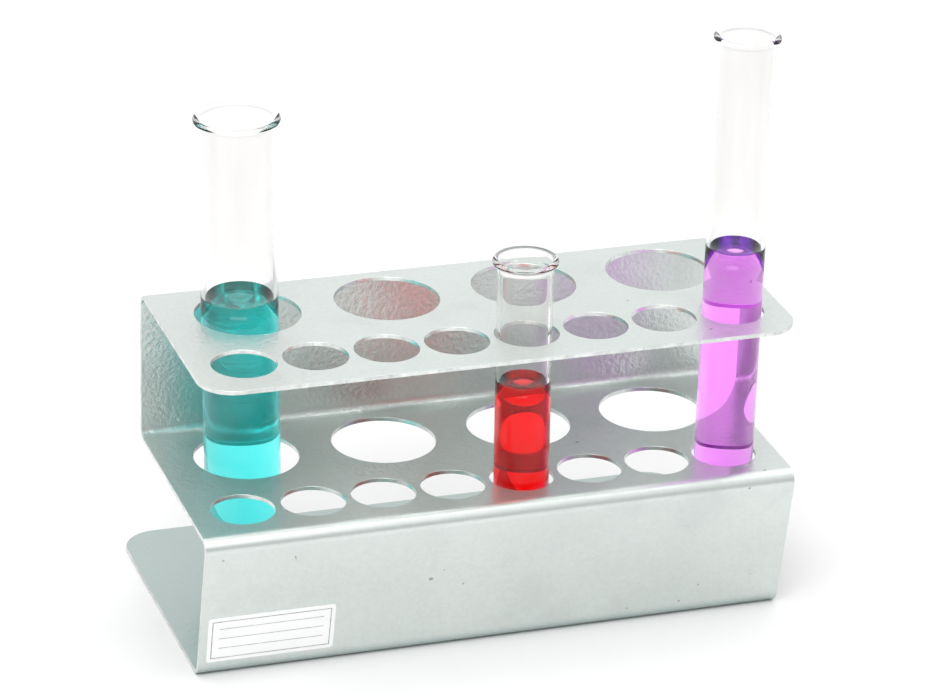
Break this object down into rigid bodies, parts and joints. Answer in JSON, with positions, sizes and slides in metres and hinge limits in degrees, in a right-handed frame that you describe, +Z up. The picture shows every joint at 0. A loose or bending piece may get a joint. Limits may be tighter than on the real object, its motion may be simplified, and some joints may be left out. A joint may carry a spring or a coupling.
{
  "type": "test tube rack with tubes",
  "caption": "Bent sheet-metal test tube rack with two tiers of matching holes, holding round-bottomed glass tubes of coloured liquid that lift out.",
  "frame": {"origin": "under the base plate, at the middle of the rack's length and depth", "axes": "+X along the rack, +Y towards its open back, +Z up"},
  "size_m": [0.17, 0.095, 0.17],
  "materials": {
    "rack_aluminium": "satin",
    "label_white": "matt",
    "tube_glass": "clear",
    "liquid_blue": "clear",
    "liquid_red": "clear",
    "liquid_violet": "clear"
  },
  "bodies": {
    "rack": {"base_plate": "rack_aluminium", "front_panel": "rack_aluminium", "lower_tier": "rack_aluminium", "rear_panel": "rack_aluminium", "upper_tier": "rack_aluminium", "label_plate": "label_white"},
    "blue_tube": {"blue_tube": "tube_glass", "blue_liquid": "liquid_blue"},
    "red_tube": {"red_tube": "tube_glass", "red_liquid": "liquid_red"},
    "violet_tube": {"violet_tube": "tube_glass", "violet_liquid": "liquid_violet"}
  },
  "joints": [
    {"name": "blue_tube_lift", "type": "slide", "parent": "rack", "child": "blue_tube", "axis": [-0.0244, 0, 0.9997], "range_m": [0, 0.1]},
    {"name": "red_tube_lift", "type": "slide", "parent": "rack", "child": "red_tube", "axis": [-0.0157, 0, 0.9999], "range_m": [0, 0.1]},
    {"name": "violet_tube_lift", "type": "slide", "parent": "rack", "child": "violet_tube", "axis": [0, 0, 1], "range_m": [0, 0.1]}
  ]
}
